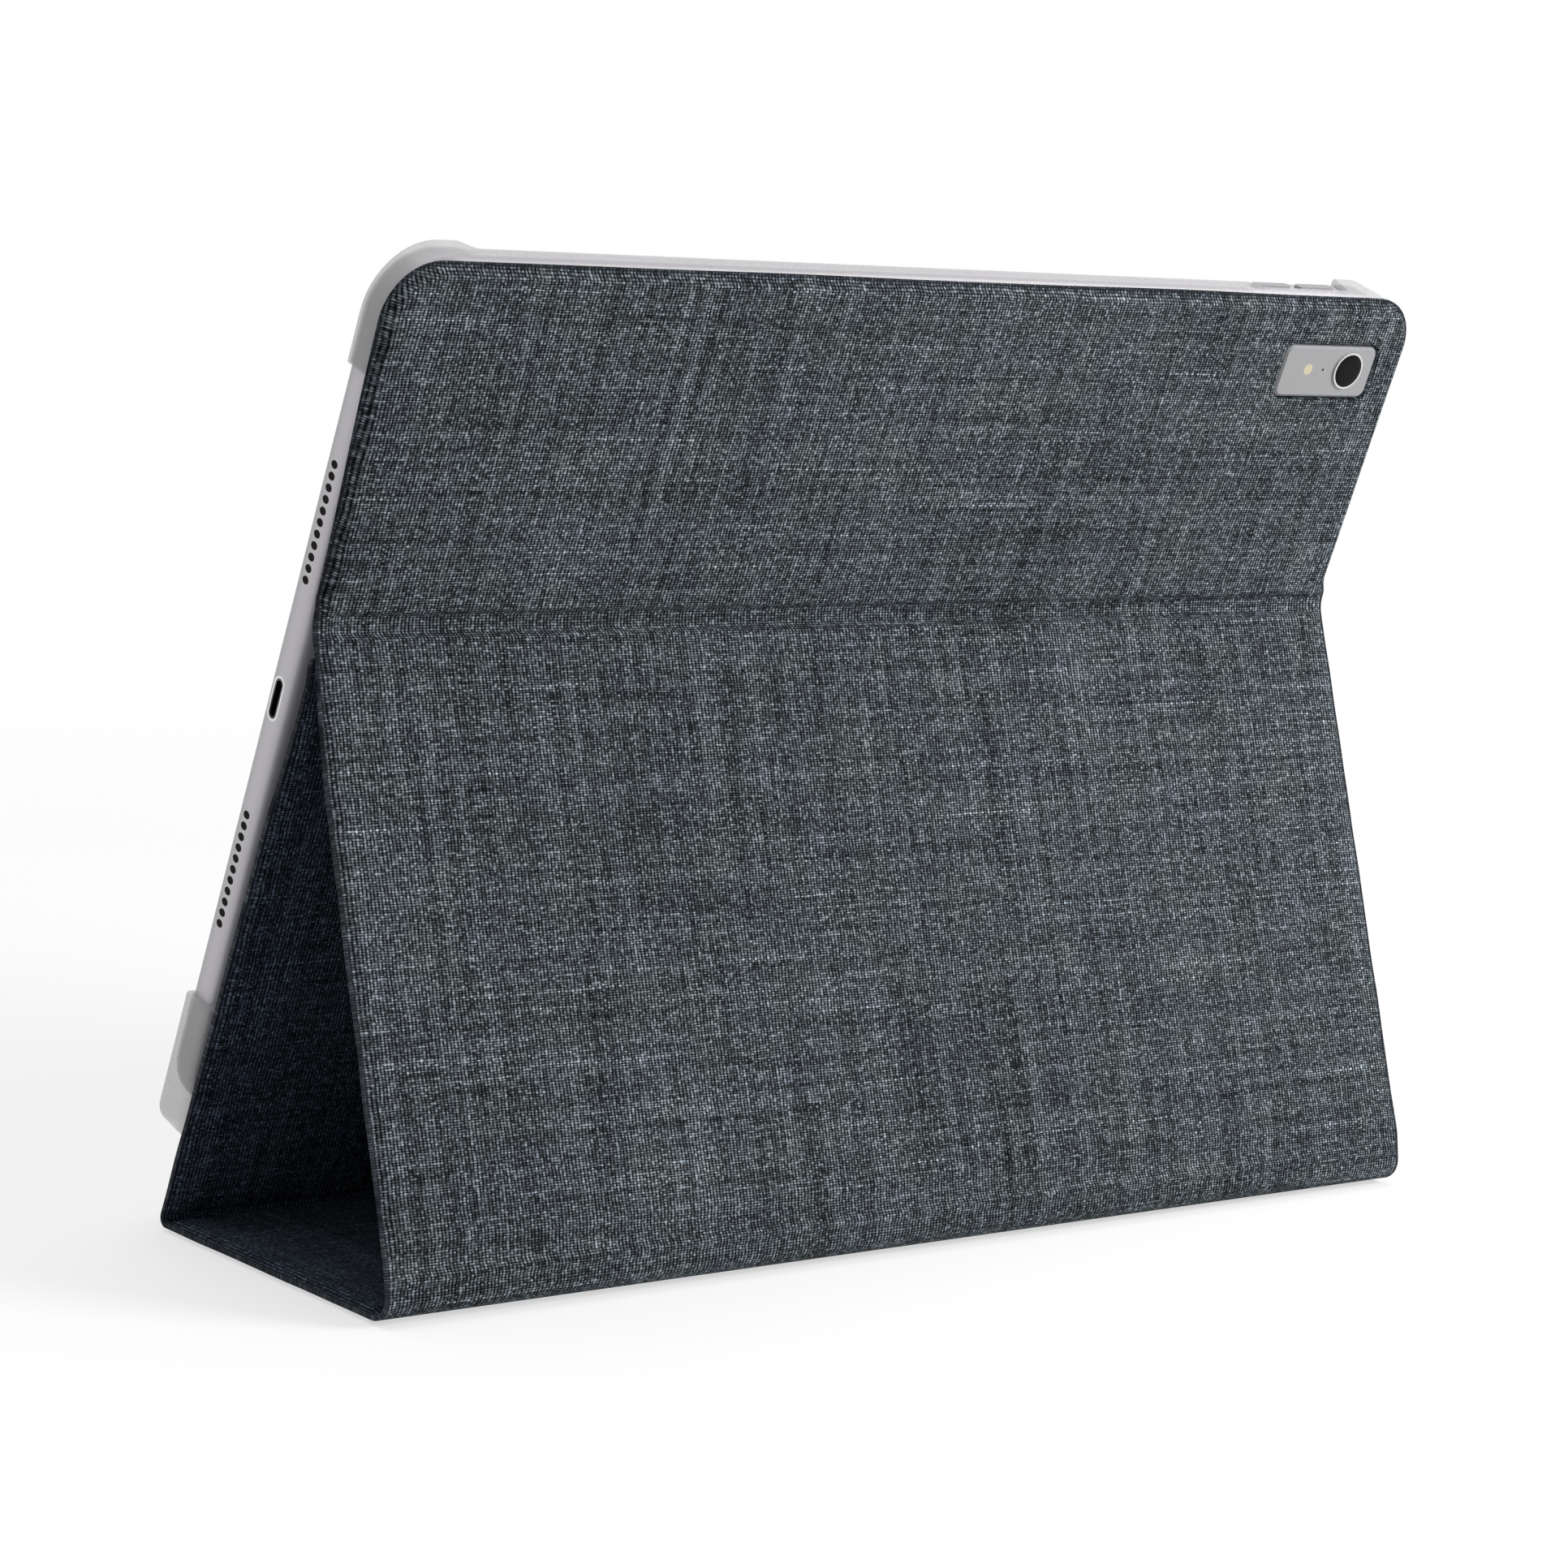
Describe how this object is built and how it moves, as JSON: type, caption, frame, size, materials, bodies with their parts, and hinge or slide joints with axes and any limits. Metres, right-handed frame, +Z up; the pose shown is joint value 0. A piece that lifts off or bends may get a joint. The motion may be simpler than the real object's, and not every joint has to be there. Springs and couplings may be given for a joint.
{
  "type": "tablet folio stand case",
  "caption": "Woven fabric folio case folded into a triangular desk stand behind a tablet, with a clear clip-on shell, camera window and fabric fold hinges.",
  "frame": {"origin": "middle of the folded stand's bounding box, on the table under the base", "axes": "+X along the case to the camera's end, +Y out of the screen's side, +Z up"},
  "size_m": [0.255, 0.0782, 0.1848],
  "materials": {
    "charcoal_fabric": "melange plain weave",
    "lining_fabric": "soft lining",
    "grey_board": "pressed fibre board",
    "adhesive": "clear bonding film",
    "clear_plastic": "frosted clear polycarbonate",
    "magnet": "nickel plate",
    "tablet_metal": "bead-blasted and anodised",
    "display_glass": "glass over an unlit display",
    "lens_black": "polished",
    "flash_white": "translucent",
    "port_metal": "satin",
    "mesh_black": "woven mesh",
    "battery": "foil pouch",
    "circuit": "solder mask"
  },
  "bodies": {
    "base": {"base_fabric": "charcoal_fabric", "base_board": "grey_board", "base_lining": "lining_fabric", "heel_strip": "charcoal_fabric", "front_strip": "charcoal_fabric"},
    "spine": {"spine_fabric": "charcoal_fabric", "spine_board": "grey_board", "spine_lining": "lining_fabric"},
    "flap": {"flap_fabric": "charcoal_fabric", "flap_board": "grey_board", "flap_lining": "lining_fabric", "flap_magnets": "magnet", "spine_strip": "charcoal_fabric", "crease_strip": "charcoal_fabric"},
    "tray": {"clear_shell": "clear_plastic", "corner_lips": "clear_plastic", "upper_fabric": "charcoal_fabric", "upper_board": "grey_board", "upper_adhesive": "adhesive"},
    "cover": {"cover_fabric": "charcoal_fabric", "cover_board": "grey_board", "cover_lining": "lining_fabric", "cover_magnets": "magnet"},
    "tablet": {"tablet_housing": "tablet_metal", "tablet_glass": "display_glass", "charge_port": "port_metal", "speaker_meshes": "mesh_black", "camera_plate": "tablet_metal", "camera_ring": "port_metal", "camera_lens": "lens_black", "flash_lens": "flash_white", "battery_cells": "battery", "logic_board": "circuit"},
    "volume_up": {"volume_up_button": "tablet_metal"},
    "volume_down": {"volume_down_button": "tablet_metal"},
    "power": {"power_button": "tablet_metal"}
  },
  "joints": [
    {"name": "stand_fold", "type": "hinge", "parent": "base", "child": "flap", "pos_m": [0, -0.03961, 0.00181], "axis": [1, 0, 0], "range_deg": [0, 100.7], "deforming": ["spine_strip"]},
    {"name": "heel_fold", "type": "hinge", "parent": "base", "child": "spine", "pos_m": [0, -0.03911, 0.0011], "axis": [1, 0, 0], "range_deg": [0, 93.05], "deforming": ["heel_strip"]},
    {"name": "crease_fold", "type": "hinge", "parent": "flap", "child": "tray", "pos_m": [0, -0.00145, 0.11653], "axis": [1, 0, 0], "range_deg": [-17.8, 0], "deforming": ["crease_strip"]},
    {"name": "cover_fold", "type": "hinge", "parent": "base", "child": "cover", "pos_m": [0, 0.03188, 0.0024], "axis": [1, 0, 0], "range_deg": [0, 68.5], "deforming": ["front_strip"]},
    {"name": "tablet_slide", "type": "slide", "parent": "tray", "child": "tablet", "axis": [0, 0.9532, 0.3024], "range_m": [0, 0.04], "deforming": ["corner_lips"]},
    {"name": "volume_up_press", "type": "slide", "parent": "tablet", "child": "volume_up", "axis": [0, 0.3024, -0.9532], "range_m": [0, 0.0004], "stiffness_N_per_m": 300, "springref_m": -0.0005},
    {"name": "volume_down_press", "type": "slide", "parent": "tablet", "child": "volume_down", "axis": [0, 0.3024, -0.9532], "range_m": [0, 0.0004], "stiffness_N_per_m": 300, "springref_m": -0.0005},
    {"name": "power_press", "type": "slide", "parent": "tablet", "child": "power", "axis": [-1, 0, 0], "range_m": [0, 0.0004], "stiffness_N_per_m": 300, "springref_m": -0.0005}
  ],
  "couplings": [
    {"joint": "heel_fold", "follows": "stand_fold", "ratio": 0.92354},
    {"joint": "crease_fold", "follows": "stand_fold", "ratio": -0.17547},
    {"joint": "cover_fold", "follows": "stand_fold", "ratio": 0.6788}
  ]
}
